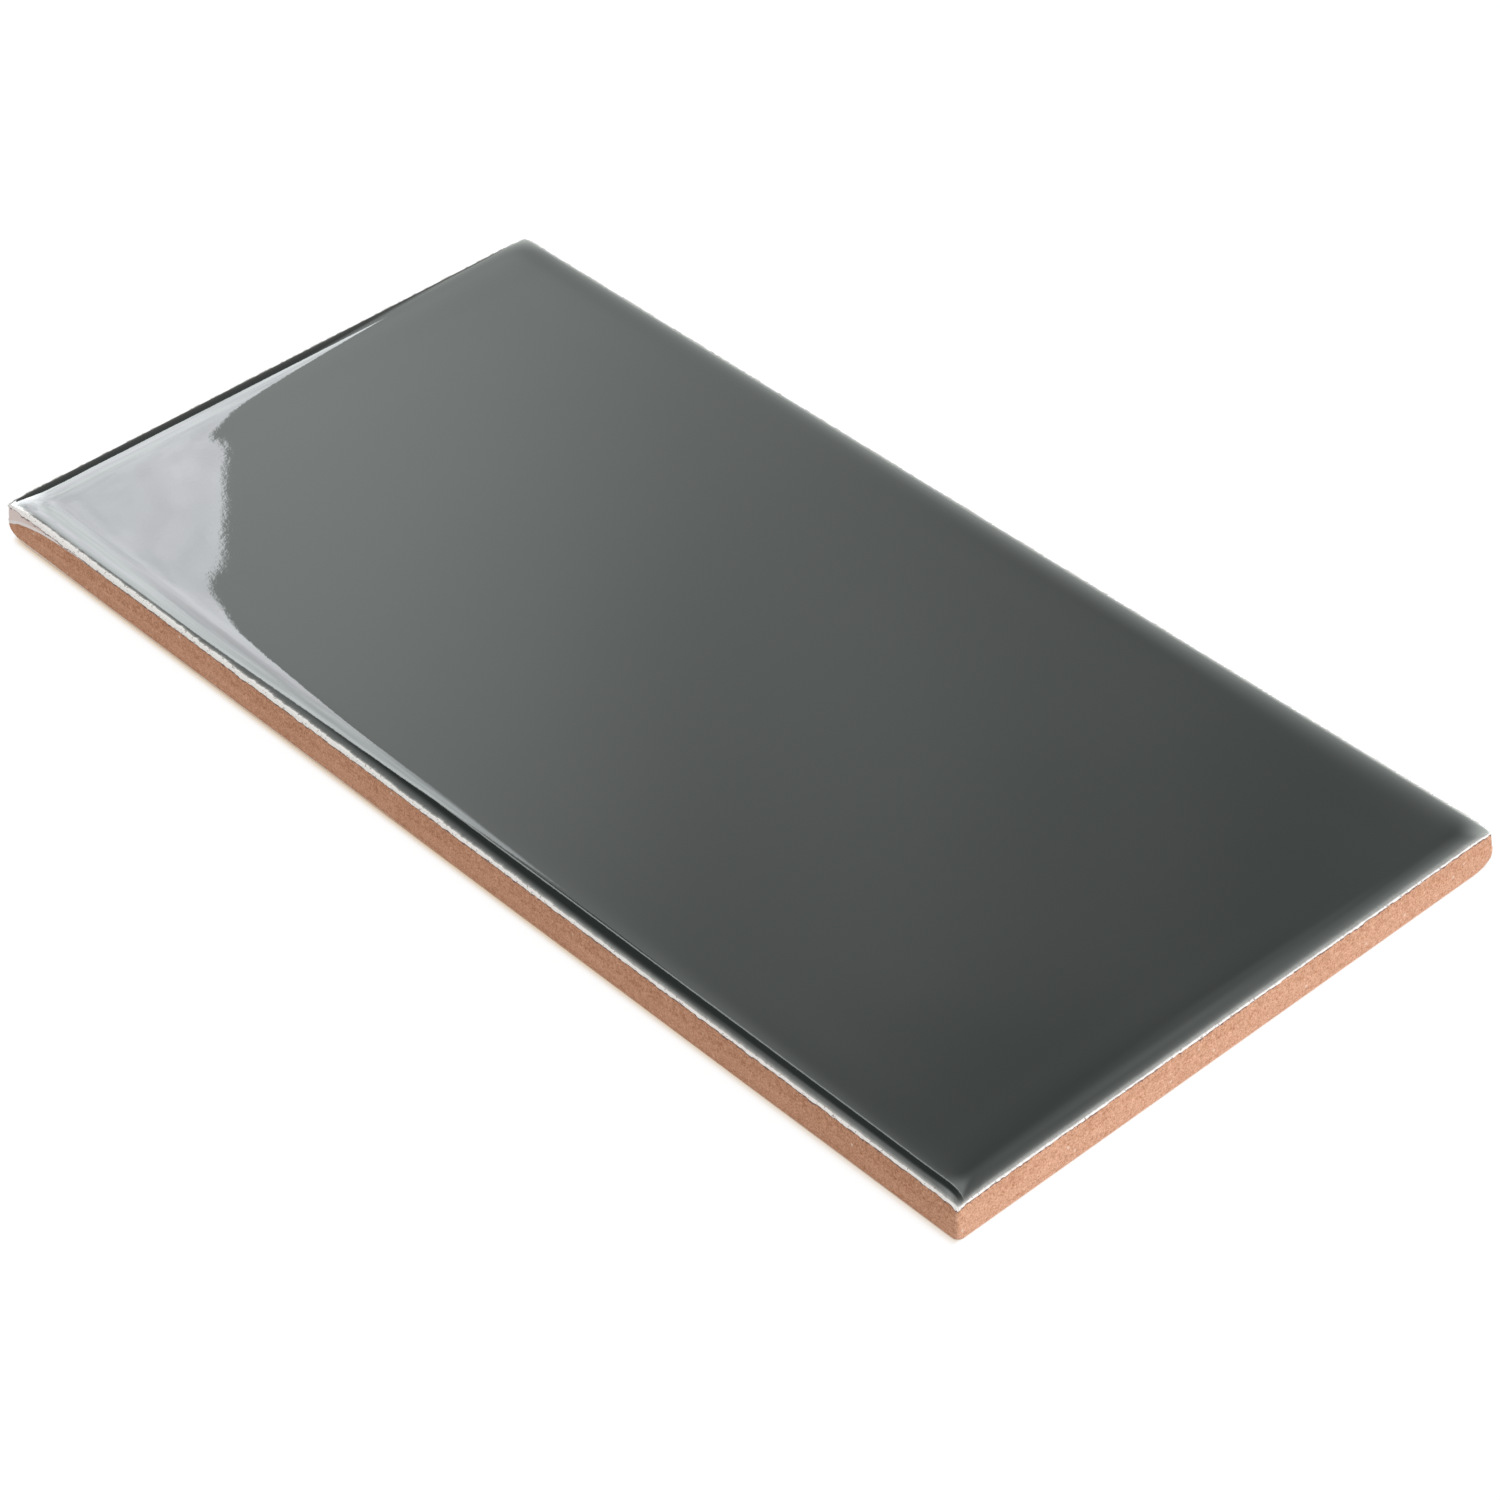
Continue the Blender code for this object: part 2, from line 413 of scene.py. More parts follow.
def add_pocket(body, centre, corners):
    """One pocket and the rib halves round it, down to the four grid points at its corners."""
    draft = POCKET_DRAFT / POCKET_DEPTH
    foot_half = POCKET_HALF - POCKET_DRAFT
    rings = []
    for half, height in (
        (POCKET_HALF + POCKET_LIP * 0.6, 0.0),
        (POCKET_HALF - draft * POCKET_LIP, POCKET_LIP),
        (foot_half + draft * POCKET_FILLET, POCKET_DEPTH - POCKET_FILLET),
        (foot_half - POCKET_FILLET * 0.6, POCKET_DEPTH),
    ):
        rings.append(body.add(pocket_ring(half, height) + np.array([*centre, 0.0]), FULL_DEPTH))
    per_corner = POCKET_ARC_STEPS + 1
    for k in range(4):
        first = rings[0][k * per_corner:(k + 1) * per_corner]
        for a, b in zip(first, first[1:]):
            body.add_face((corners[k], b, a), CLAY)
        after = rings[0][((k + 1) % 4) * per_corner]
        body.add_face((corners[k], corners[(k + 1) % 4], after, first[-1]), CLAY)
    for outer, inner in zip(rings, rings[1:]):
        body.face_rows((outer, np.roll(outer, -1), np.roll(inner, -1), inner), CLAY)
    body.add_face(rings[-1], CLAY)


def key_relief(body, ring):
    xs = (np.arange(POCKET_COLUMNS + 1) - POCKET_COLUMNS / 2) * PITCH
    ys = (np.arange(POCKET_ROWS + 1) - POCKET_ROWS / 2) * PITCH
    x, y = (v.ravel() for v in np.meshgrid(xs, ys))
    ids = body.add(np.column_stack([x, y, 0 * x]), FULL_DEPTH).reshape(POCKET_ROWS + 1, POCKET_COLUMNS + 1)
    for row in range(POCKET_ROWS):
        for column in range(POCKET_COLUMNS):
            centre = (xs[column] + PITCH / 2, ys[row] + PITCH / 2)
            cell = ids[row:row + 2, column:column + 2]
            add_pocket(body, centre, (cell[1, 1], cell[0, 1], cell[0, 0], cell[1, 0]))
    counts = (POCKET_ROWS, POCKET_COLUMNS, POCKET_ROWS, POCKET_COLUMNS)
    body.zip_rings(ring, places(SIDE_STEPS, BORDER_RING_STEP), grid_edge(ids), places(counts), CLAY)


def build_tile():
    body = Body()
    ring = glazed_top(body)
    ring, edge = glazed_lip(body, ring)
    ring = clay_side(body, ring, edge)
    key_relief(body, ring)
    points = np.concatenate(body.points)
    limits = np.array([HALF_LENGTH, HALF_WIDTH])
    points[:, :2] = np.clip(points[:, :2], -limits, limits)
    points[:, 2] = np.clip(points[:, 2], 0.0, THICKNESS)
    mesh = bpy.data.meshes.new("glazed_tile")
    mesh.from_pydata(points.tolist(), [], body.faces)
    mesh.polygons.foreach_set("material_index", body.materials)
    mesh.shade_smooth()
    mesh.set_sharp_from_angle(angle=SMOOTH_ANGLE)
    depth = mesh.attributes.new("depth", "FLOAT", "POINT")
    depth.data.foreach_set("value", np.concatenate(body.depth).astype(np.float32))
    mesh.normals_split_custom_set_from_vertices(np.concatenate(body.normals).tolist())
    mesh.update()
    tile = bpy.data.objects.new("glazed_tile", mesh)
    bpy.context.scene.collection.objects.link(tile)
    return tile


class Signal:
    """The output of a node. Sums, products and steps of signals add the nodes that work them out."""

    def __init__(self, nodes, socket):
        self.nodes, self.socket = nodes, socket
        self.is_colour = socket.type in ("RGBA", "VECTOR")

    def __add__(self, other):
        return self.nodes.math("ADD", self, other)

    def __sub__(self, other):
        return self.nodes.math("SUBTRACT", self, other)

    def __rsub__(self, other):
        return self.nodes.math("SUBTRACT", other, self)

    def __mul__(self, other):
        return self.nodes.math("MULTIPLY", self, other)

    def __truediv__(self, other):
        return self.nodes.math("DIVIDE", self, other)

    def __pow__(self, power):
        return self.nodes.math("POWER", self, power)

    def __abs__(self):
        return self.nodes.math("ABSOLUTE", self)

    def at_least(self, limit):
        return self.nodes.math("MAXIMUM", self, limit)

    def at_most(self, limit):
        return self.nodes.math("MINIMUM", self, limit)

    def is_over(self, limit):
        return self.nodes.math("GREATER_THAN", self, limit)

    def is_under(self, limit):
        return self.nodes.math("LESS_THAN", self, limit)

    def step(self, low, high, start=0.0, end=1.0):
        """A smooth step from start to end as this goes from low to high."""
        inputs = {"Value": self, "From Min": low, "From Max": high, "To Min": start, "To Max": end}
        return self.nodes.out("ShaderNodeMapRange", 0, inputs, interpolation_type="SMOOTHSTEP")


class Nodes:
    """Short calls for adding nodes to one tree. Colours are given as three numbers."""

    def __init__(self, tree):
        self.tree = tree

    def add(self, kind, inputs=None, **settings):
        node = self.tree.nodes.new(kind)
        for name, value in settings.items():
            setattr(node, name, value)
        for name, value in (inputs or {}).items():
            self.put(node.inputs[name], value)
        return node

    def out(self, kind, output, inputs=None, **settings):
        return Signal(self, self.add(kind, inputs, **settings).outputs[output])

    def put(self, socket, value):
        if isinstance(value, Signal):
            self.tree.links.new(value.socket, socket)
        elif socket.type == "RGBA":
            socket.default_value = (*value, 1.0)
        else:
            socket.default_value = value

    def math(self, operation, *values):
        return self.out("ShaderNodeMath", 0, dict(enumerate(values)), operation=operation)

    def blend(self, share, first, second):
        """A number or a colour, share of the way from first to second."""
        colour = any(isinstance(v, tuple) or getattr(v, "is_colour", False) for v in (first, second))
        kind, first_input, output = ("RGBA", 6, 2) if colour else ("FLOAT", 2, 0)
        inputs = {0: share, first_input: first, first_input + 1: second}
        return self.out("ShaderNodeMix", output, inputs, data_type=kind)

    def vector(self, operation, first, second):
        return self.out("ShaderNodeVectorMath", 0, {0: first, 1: second}, operation=operation)

    def scaled(self, strength, colour):
        return self.out("ShaderNodeVectorMath", 0, {0: colour, "Scale": strength}, operation="SCALE")

    def split(self, vector):
        parts = self.add("ShaderNodeSeparateXYZ", {"Vector": vector}).outputs
        return [Signal(self, part) for part in parts]

    def noise(self, vector, scale, detail=2.0, rough=0.5):
        inputs = {"Vector": vector, "Scale": scale, "Detail": detail, "Roughness": rough}
        return self.out("ShaderNodeTexNoise", "Fac", inputs)

    def bump(self, shader, height, distance):
        normal = self.out("ShaderNodeBump", 0, {"Height": height, "Strength": 1.0, "Distance": distance})
        self.put(shader.inputs["Normal"], normal)


def new_material(name):
    material = bpy.data.materials.new(name)
    material.use_nodes = True
    material.node_tree.nodes.clear()
    return material, Nodes(material.node_tree)


def principled(nodes):
    shader = nodes.add("ShaderNodeBsdfPrincipled")
    nodes.add("ShaderNodeOutputMaterial", {"Surface": Signal(nodes, shader.outputs[0])})
    return shader


# Colour of the glaze by how deep it looks, from the white ground at its edge, with its painted highlight, to
# dark grey
GLAZE_RAMP = (
    (0.0, (0.97, 0.93, 0.89)), (0.10, (0.92, 0.88, 0.84)), (0.14, (0.62, 0.60, 0.56)),
    (0.17, (0.45, 0.43, 0.41)), (0.25, (0.28, 0.275, 0.26)), (0.33, (0.19, 0.19, 0.18)),
    (0.45, (0.092, 0.094, 0.088)), (0.60, (0.050, 0.054, 0.050)), (0.80, (0.036, 0.041, 0.038)),
    (1.0, (0.0295, 0.0345, 0.0325)),
)
RAMP_START, RAMP_RATE = 0.1, 0.5
CLOUD_DARK, CLOUD_PALE = (0.96, 0.98, 0.97), (1.04, 1.03, 1.03)
PIT_COLOUR = (0.20, 0.13, 0.11)
GLAZE_ROUGHNESS = 0.015
GLAZE_IOR = 1.6
GLAZE_RELIEF = 0.0007 * MM


def glaze_ramp(nodes, depth):
    ramp = nodes.add("ShaderNodeValToRGB", {"Fac": depth * RAMP_RATE + RAMP_START})
    while len(ramp.color_ramp.elements) < len(GLAZE_RAMP):
        ramp.color_ramp.elements.new(0.5)
    for element, (spot, colour) in zip(ramp.color_ramp.elements, GLAZE_RAMP):
        element.position = spot
        element.color = (*colour, 1.0)
    return Signal(nodes, ramp.outputs[0])


def glaze_material():
    """Glossy dark grey glaze with a gritty, pitted edge, a faint cloud in its colour and a faint ripple."""
    material, nodes = new_material("dark_grey_glaze")
    shader = principled(nodes)
    place = nodes.out("ShaderNodeTexCoord", "Object")
    along, _, _ = nodes.split(place)
    gritty = along.step(-30 * MM, 40 * MM, 0.75, 0.2)
    depth = nodes.out("ShaderNodeAttribute", "Fac", attribute_name="depth")
    depth = depth + (nodes.noise(place, 3000.0, 3.0, 0.7) - 0.5) * gritty
    cloud = nodes.noise(place, 22.0, 3.0, 0.55).step(0.3, 0.7)
    colour = nodes.vector("MULTIPLY", glaze_ramp(nodes, depth), nodes.blend(cloud, CLOUD_DARK, CLOUD_PALE))
    pits = nodes.noise(place, 2300.0, 2.0, 0.6).step(0.60, 0.68, 0.0, 0.7)
    near_edge = depth.step(-0.1, 0.5, 1.0, 0.0)
    nodes.put(shader.inputs["Base Color"], nodes.blend(pits * near_edge, colour, PIT_COLOUR))
    shader.inputs["Roughness"].default_value = GLAZE_ROUGHNESS
    shader.inputs["IOR"].default_value = GLAZE_IOR
    ripple = nodes.noise(place, 1500.0, 2.0, 0.5) + nodes.noise(place, 260.0, 2.0, 0.5) * 2.0
    nodes.bump(shader, ripple, GLAZE_RELIEF)
    return material


# Colours of the clay: above and below the press step, painted lighter on the short side that faces the lamp,
# and of its marks, with painted shade in the seam and a painted highlight on the arris
UPPER_CLAY, LOWER_CLAY = (0.60, 0.305, 0.182), (0.655, 0.343, 0.211)
# Painted light: the short side that faces the lamp is painted paler
LIT_END_CLAY = (0.70, 0.385, 0.250)
PALE_SPECK, DARK_SPECK = (0.88, 0.66, 0.52), (0.30, 0.15, 0.10)
# The seam under the glaze: partly a dark rim, partly painted shade under the bead
SEAM_AND_SHADE_COLOUR = (0.17, 0.105, 0.10)
# Colour of the painted highlight along the bottom arris
ARRIS_HIGHLIGHT_COLOUR = (1.0, 0.88, 0.77)
CLAY_ROUGHNESS, FILM_ROUGHNESS = 0.9, 0.25
CLAY_SPECULAR = 0.25
CLAY_RELIEF = 0.06 * MM

# Bright grains are paler and less red than the clay round them, and dark ones deeper
GRAIN_SPREAD = (1.0, 1.4, 1.7)

# Film of glaze on the left corner: its lowest and highest edge, how far along it climbs from one to the
# other, and its colours from thin to thick
RUN_FOOT = 2.8 * MM
RUN_TOP = 6.2 * MM
RUN_LENGTH = 6.5 * MM
THIN_FILM, FILM, FILM_BEAD = (0.66, 0.42, 0.34), (0.84, 0.70, 0.65), (0.95, 0.88, 0.85)


def clay_body(nodes, place):
    """Colour of the bare clay by its height and side, painted lighter on the short side that faces the lamp.
    """
    across, _, height = nodes.split(place)
    lower = height.step(PRESS_STEP_HEIGHT - 0.2 * MM, PRESS_STEP_HEIGHT + 0.1 * MM, 1.0, 0.0)
    colour = nodes.blend(lower, UPPER_CLAY, LOWER_CLAY)
    # Painted light on the short side that faces the lamp, strongest towards its foot
    lit_end = across.is_over(HALF_LENGTH - 0.6 * MM) * height.step(1.0 * MM, 6.0 * MM, 1.0, 0.45)
    return nodes.blend(lit_end, colour, LIT_END_CLAY)


def specks(nodes, colour, place):
    """A few pale and dark specks, one to a cell at most."""
    cells = nodes.add("ShaderNodeTexVoronoi", {"Vector": place, "Scale": 900.0, "Randomness": 1.0}).outputs
    chosen, _, _ = nodes.split(Signal(nodes, cells["Color"]))
    near = Signal(nodes, cells["Distance"]).step(0.14, 0.26, 1.0, 0.0)
    colour = nodes.blend(near * chosen.is_over(0.975) * 0.7, colour, PALE_SPECK)
    return nodes.blend(near * chosen.is_under(0.07) * 0.45, colour, DARK_SPECK)


def painted_arris_highlight(nodes, colour, place, grain):
    """A painted highlight: a pale line where the side meets the back, widest towards the left of the front.
    """
    x, y, z = nodes.split(place)
    top = x.step(-95 * MM, -75 * MM, 0.95 * MM, 0.68 * MM) - x.step(0.0, 70 * MM, 0.0, 0.30 * MM)
    share = x.step(-25 * MM, 0.0, 0.9, 0.15) + x.step(55 * MM, 80 * MM, 0.0, 0.7)
    height = z + (grain - 0.5) * (0.3 * MM)
    inward = (HALF_LENGTH - abs(x)).at_most(HALF_WIDTH - abs(y))
    # Painted highlight along the downward-facing bottom arris
    arris_highlight = height.is_under(top) * share * inward.step(1.0 * MM, 1.9 * MM, 1.0, 0.0)
    return nodes.blend(arris_highlight, colour, ARRIS_HIGHLIGHT_COLOUR)


def glaze_run(nodes, colour, place):
    """A thin pale film of glaze that ran down the left corner. Returns the colour and where the film is."""
    x, y, z = nodes.split(nodes.vector("SUBTRACT", place, (-HALF_LENGTH, -HALF_WIDTH, 0.0)))
    away = abs(x) + abs(y)
    low = RUN_TOP - nodes.math("EXPONENT", away / -RUN_LENGTH) * (RUN_TOP - RUN_FOOT)
    over = z - low + (nodes.noise(place, 500.0) - 0.5) * (0.25 * MM)
    film = over.step(-0.04 * MM, 0.06 * MM)
    bead = over.step(0.30 * MM, 0.75 * MM, 1.0, 0.0)
    thin = nodes.blend(away.step(2 * MM, 14 * MM, 1.0, 0.0), THIN_FILM, FILM)
    return nodes.blend(film, colour, nodes.blend(bead, thin, FILM_BEAD)), film


def glaze_seam_and_shade(nodes, colour, place):
    """The thin dark seam in the clay right under the glaze: partly a dark fired rim, partly painted shade
    under the glaze's bead.
    """
    drop = nodes.out("ShaderNodeAttribute", "Fac", attribute_name="depth")
    drop = drop + (nodes.noise(place, 1500.0, 3.0, 0.75) - 0.5) * 1.3
    # Painted shade under the glaze's bead, together with the dark rim of the seam
    return nodes.blend(drop.step(0.25, 0.40, 0.85, 0.0), colour, SEAM_AND_SHADE_COLOUR)


def clay_material():
    """Matt red clay with a fine grain, faint bands of the pressing, specks, a painted highlight on the
    bottom arris, a glaze run, a seam partly painted as shade, and painted light on the short side facing the
    lamp.
    """
    material, nodes = new_material("fired_red_clay")
    shader = principled(nodes)
    place = nodes.out("ShaderNodeTexCoord", "Object")
    stretch = nodes.out("ShaderNodeMapping", 0, {"Vector": place, "Scale": (1.0, 1.0, 9.0)})
    bands = nodes.noise(stretch, 90.0, 3.0, 0.6)
    cloud = nodes.noise(place, 160.0, 3.0, 0.6)
    grain = nodes.noise(place, 3600.0, 3.0, 0.75)
    coarse = nodes.noise(place, 1100.0, 2.0, 0.6)
    shade = bands * 0.22 + cloud * 0.16 + grain * 1.75 + coarse * 0.50 - 1.315
    spread = nodes.vector("ADD", nodes.scaled(shade, GRAIN_SPREAD), (1.0, 1.0, 1.0))
    colour = nodes.vector("MULTIPLY", clay_body(nodes, place), spread)
    colour = specks(nodes, colour, place)
    colour = painted_arris_highlight(nodes, colour, place, grain)
    colour, film = glaze_run(nodes, colour, place)
    nodes.put(shader.inputs["Base Color"], glaze_seam_and_shade(nodes, colour, place))
    nodes.put(shader.inputs["Roughness"], nodes.blend(film, CLAY_ROUGHNESS, FILM_ROUGHNESS))
    shader.inputs["Specular IOR Level"].default_value = CLAY_SPECULAR
    nodes.bump(shader, (grain + cloud * 1.5) * (1.0 - film) + film * 2.5, CLAY_RELIEF)
    return material


FLOOR_PAINT = (0.80, 0.80, 0.80)
FLOOR_SHADE = (0.12, 0.13, 0.14)
FLOOR_GLOW = (0.93, 0.925, 0.92)
CONTACT_REACH = 1.1 * MM
CONTACT_COLOUR = (0.52, 0.34, 0.15)
FLOOR_SIZE = 6.0
FLOOR_GAP = 0.02 * MM
NEAR_TILE = 3.0 * MM


def contact_shade(nodes):
    """How much warm shade the tile casts on the floor touching it, which is none on the side of the lamp."""
    inputs = {"Distance": CONTACT_REACH}
    open_part = nodes.out("ShaderNodeAmbientOcclusion", "AO", inputs, samples=4)
    along, _, _ = nodes.split(nodes.out("ShaderNodeTexCoord", "Object"))
    unlit = along.step(HALF_LENGTH - 1.0 * MM, HALF_LENGTH - 0.4 * MM, 1.0, 0.0)
    hidden = ((1.0 - open_part) ** 1.6 * 2.0).at_most(1.0)
    return hidden * unlit * along.step(0.0, HALF_LENGTH, 0.9, 0.6)


def floor_material(name, near_tile):
    """A white floor that lights the tile as paint does, but when seen takes only part of its shadow."""
    material, nodes = new_material(name)
    glow = nodes.blend(contact_shade(nodes), FLOOR_GLOW, CONTACT_COLOUR) if near_tile else FLOOR_GLOW
    emission = nodes.out("ShaderNodeEmission", 0, {"Color": glow, "Strength": 1.0})
    thin = nodes.out("ShaderNodeBsdfDiffuse", 0, {"Color": FLOOR_SHADE})
    paint = nodes.out("ShaderNodeBsdfDiffuse", 0, {"Color": FLOOR_PAINT})
    shown = nodes.out("ShaderNodeAddShader", 0, {0: thin, 1: emission})
    seen = nodes.out("ShaderNodeLightPath", "Is Camera Ray").at_least(
        nodes.out("ShaderNodeLightPath", "Is Glossy Ray"))
    surface = nodes.out("ShaderNodeMixShader", 0, {0: seen, 1: paint, 2: shown})
    nodes.add("ShaderNodeOutputMaterial", {"Surface": surface})
    return material


# The lamp box as the glaze mirrors it. Its upright edge leans, and high up it is out of focus
BOX_LEFT, BOX_LEFT_SHARP = 147.05, 147.2
BOX_LEFT_HIGH, BOX_LEFT_SOFT = 145.6, 146.9
BOX_RIGHT = 203.0
BOX_FOOT, BOX_FOOT_TOP = 27.9, 28.3
BOX_TOP, BOX_TOP_FALL = 54.24, 0.065
BOX_SHOULDER, BOX_SHOULDER_FALL = 157.6, 0.6
BOX_LEVEL = 6.7
ARM_AZIMUTH, ARM_HEIGHT, ARM_SLOPE = 147.6, 47.2, 0.98
SOFT_START, SOFT_END = 40.8, 42.3
COOL_CLOTH = (0.95, 1.005, 1.015)
WARM_CLOTH = (0.98, 0.995, 1.03)

# The room round it
ROOM_TINT = (0.945, 1.0, 0.97)
BACKDROP_MOST = 3.0
UNDER_FLAG_LEVEL = 0.25
OVERHEAD_LEVEL = 0.8
DIFFUSE_LEVEL = 0.66


class Studio:
    """What the glaze mirrors, as a strength by direction, with azimuths and heights in degrees."""

    def __init__(self, nodes):
        self.nodes = nodes
        self.direction = nodes.out("ShaderNodeTexCoord", "Generated")
        x, y, z = nodes.split(self.direction)
        azimuth = nodes.math("DEGREES", nodes.math("ARCTAN2", y, x))
        self.azimuth = nodes.math("FLOORED_MODULO", azimuth, 360.0)
        self.height = nodes.math("DEGREES", nodes.math("ARCSINE", z))
        self.soft = self.height.step(SOFT_START, SOFT_END)
        past_shoulder = (self.azimuth - BOX_SHOULDER).at_least(0.0)
        self.box_top = BOX_TOP - self.azimuth * BOX_TOP_FALL - past_shoulder * BOX_SHOULDER_FALL
        slant = (ARM_AZIMUTH - self.azimuth) * ARM_SLOPE + ARM_HEIGHT
        # Height over the upper outline of the box, which a slanting arm carries on to its left
        self.above = self.height - slant.at_least(self.box_top)

    def below(self, limit, span, power, gain):
        """A level that grows downwards from a height."""
        share = ((limit - self.height) / span).at_least(0.0).at_most(1.8)
        return share ** power * gain

    def backdrop(self):
        """Brightest low down, with a faint glow where the wall catches the lamp box."""
        azimuth, height = self.azimuth, self.height
        right = self.below(44.0, 13.0, 1.8, 1.08) + azimuth.step(126.0, 135.0, 0.48, 0.2)
        left = self.below(28.0, 14.0, 1.5, 1.1) + height.step(34.0, 46.0, 1.45, 0.7)
        left = left - height.step(26.0, 34.0, 0.15, 0.0)
        left = left + azimuth.step(139.0, 147.0) * height.step(27.0, 36.0, 0.4, 0.75)
        wall = self.nodes.blend(azimuth.step(130.0, 143.0), right, left)
        glow = azimuth.step(129.0, 133.0) * azimuth.step(136.0, 141.0, 0.22, 0.0)
        glow = glow * height.step(36.5, 40.0) * height.step(42.5, 45.0, 1.0, 0.2)
        return wall.at_most(BACKDROP_MOST) + glow

    def ceiling(self):
        """It starts higher towards the left, and carries a bright strip there."""
        azimuth, height = self.azimuth, self.height
        onset = ((azimuth - 122.0) * 0.45 + 43.0).at_least(43.0).at_most(58.0)
        fade = azimuth.step(121.0, 125.0, 0.2, 0.6) * height.step(48.0, 51.5)
        main = (height - onset).step(0.0, 6.0) * azimuth.step(119.0, 126.0, 0.5, 0.8) * (1.0 - fade)
        low = azimuth.step(123.5, 126.0) * azimuth.step(129.0, 133.0, 0.2, 0.0)
        low = low * height.step(43.5, 45.0) * height.step(47.5, 49.5, 1.0, 0.0)
        strip = height.step(49.0, 57.0, 0.0, 1.6) * height.step(60.0, 70.0, 1.0, 0.0)
        strip = strip * azimuth.step(128.5, 133.0) * azimuth.step(141.0, 150.0, 1.0, 0.0)
        return main + low + strip + height.step(58.0, 75.0, 0.0, 0.5)

    def side_light(self):
        across = self.azimuth.step(109.0, 123.5, 3.9, 0.0) * self.azimuth.step(40.0, 75.0)
        return across * self.height.step(39.0, 46.0, 1.0, 0.45)

    def box_rim(self):
        """A bright line along the top of the lamp box and its slanting arm."""
        line = self.above.step(-1.6, -0.7) * self.above.step(-0.4, 0.0, 1.0, 0.0)
        return line * self.azimuth.step(127.0, 143.0, 0.5, 2.4) * self.azimuth.step(120.0, 127.0)

    def over_flag(self):
        """The dark flag right over that line."""
        flag = self.above.step(-0.3, 0.3) * self.above.step(5.0, 9.0, 1.0, 0.0)
        return flag * self.azimuth.step(124.0, 130.0) * self.azimuth.step(152.0, 157.0, 1.0, 0.0)

    def under_flag(self):
        """The dim flag under the lamp box."""
        flag = self.azimuth.step(147.4, 148.8) * self.azimuth.step(172.0, 190.0, 1.0, 0.0)
        return flag * self.height.step(BOX_FOOT, BOX_FOOT_TOP, 1.0, 0.0)

    def gap(self):
        """The dark gap between the tip of the lamp box and its rim."""
        line = self.above.step(-2.2, -1.8) * self.above.step(-1.35, -1.0, 1.0, 0.0)
        return line * self.azimuth.step(145.6, 146.8) * self.azimuth.step(147.6, 148.8, 0.85, 0.0)

    def room(self):
        azimuth, height, blend = self.azimuth, self.height, self.nodes.blend
        room = self.backdrop() + self.ceiling() + self.side_light()
        behind = azimuth.step(165.0, 185.0).at_least(azimuth.step(60.0, 85.0, 1.0, 0.0))
        room = blend(behind, room, height.step(0.0, 60.0, 1.5, 0.9)) + self.box_rim()
        room = blend(self.over_flag(), room, 0.0)
        room = blend(self.under_flag(), room, UNDER_FLAG_LEVEL)
        # Overhead the room is even, so that nothing in it comes to a point at the zenith
        return blend(height.step(62.0, 74.0), room, OVERHEAD_LEVEL)

    def box_share(self):
        """1 inside the outline of the lamp box, and 0 outside it."""
        azimuth, height, blend = self.azimuth, self.height, self.nodes.blend
        lean = ((height - 35.9).at_most(1.6) * 0.17).at_least(-0.1)
        low = blend(self.soft, BOX_LEFT, BOX_LEFT_HIGH)
        high = blend(self.soft, BOX_LEFT_SHARP, BOX_LEFT_SOFT)
        box = (azimuth - lean).step(low, high) * azimuth.step(BOX_RIGHT, BOX_RIGHT + 2.0, 1.0, 0.0)
        box = box * height.step(BOX_FOOT, BOX_FOOT_TOP)
        return box * (height - self.box_top).step(-0.25, 0.15, 1.0, 0.0)

    def box_cloth(self):
        """The lit cloth of the lamp box: uneven, hottest low down, and dimmer at its top and tip."""
        azimuth, height, nodes = self.azimuth, self.height, self.nodes
        bright = nodes.noise(self.direction, 30.0, 4.0, 0.65).step(0.3, 0.7, -1.0, 1.0) + BOX_LEVEL
        hot = azimuth.step(151.0, 155.5) * height.step(28.0, 37.0, 4.6, 1.3)
        dim = azimuth.step(156.0, 160.0) * height.step(30.0, 35.0, 0.2, 2.4)
        top_dim = azimuth.step(150.0, 156.0, 0.8, 0.2) * height.step(38.5, 41.5)
        top_dim = top_dim * height.step(42.6, 43.8, 1.0, 0.2)
        tip = nodes.blend(self.soft, 1.0, azimuth.step(146.5, 150.5, 0.68, 1.0))
        bright = (bright + hot - (dim + top_dim)) * tip
        warm = nodes.noise(self.direction, 16.0, 3.0, 0.6).step(0.35, 0.65) * (1.0 - self.soft)
        return nodes.scaled(bright, nodes.blend(warm, COOL_CLOTH, WARM_CLOTH))

    def light(self):
        room = self.nodes.scaled(self.room(), ROOM_TINT)
        seen = self.nodes.blend(self.box_share(), room, self.box_cloth())
        return self.nodes.scaled(1.0 - self.gap(), seen)


def build_world():
    """White to the camera, plain light on what is matt, and the studio in what is glossy."""
    world = bpy.data.worlds.new("studio")
    world.use_nodes = True
    world.node_tree.nodes.clear()
    nodes = Nodes(world.node_tree)
    plain = nodes.blend(nodes.out("ShaderNodeLightPath", "Is Camera Ray"), DIFFUSE_LEVEL, 1.0)
    light = nodes.blend(nodes.out("ShaderNodeLightPath", "Is Glossy Ray"), plain, Studio(nodes).light())
    background = nodes.out("ShaderNodeBackground", 0, {"Color": light, "Strength": 1.0})
    nodes.add("ShaderNodeOutputWorld", {"Surface": background})
    bpy.context.scene.world = world


LAMP_PLACE = (1.3, 0.15, 0.55)
LAMP_SIZE = 0.7
LAMP_POWER = 8.4
LAMP_COLOUR = (1.0, 1.04, 1.12)


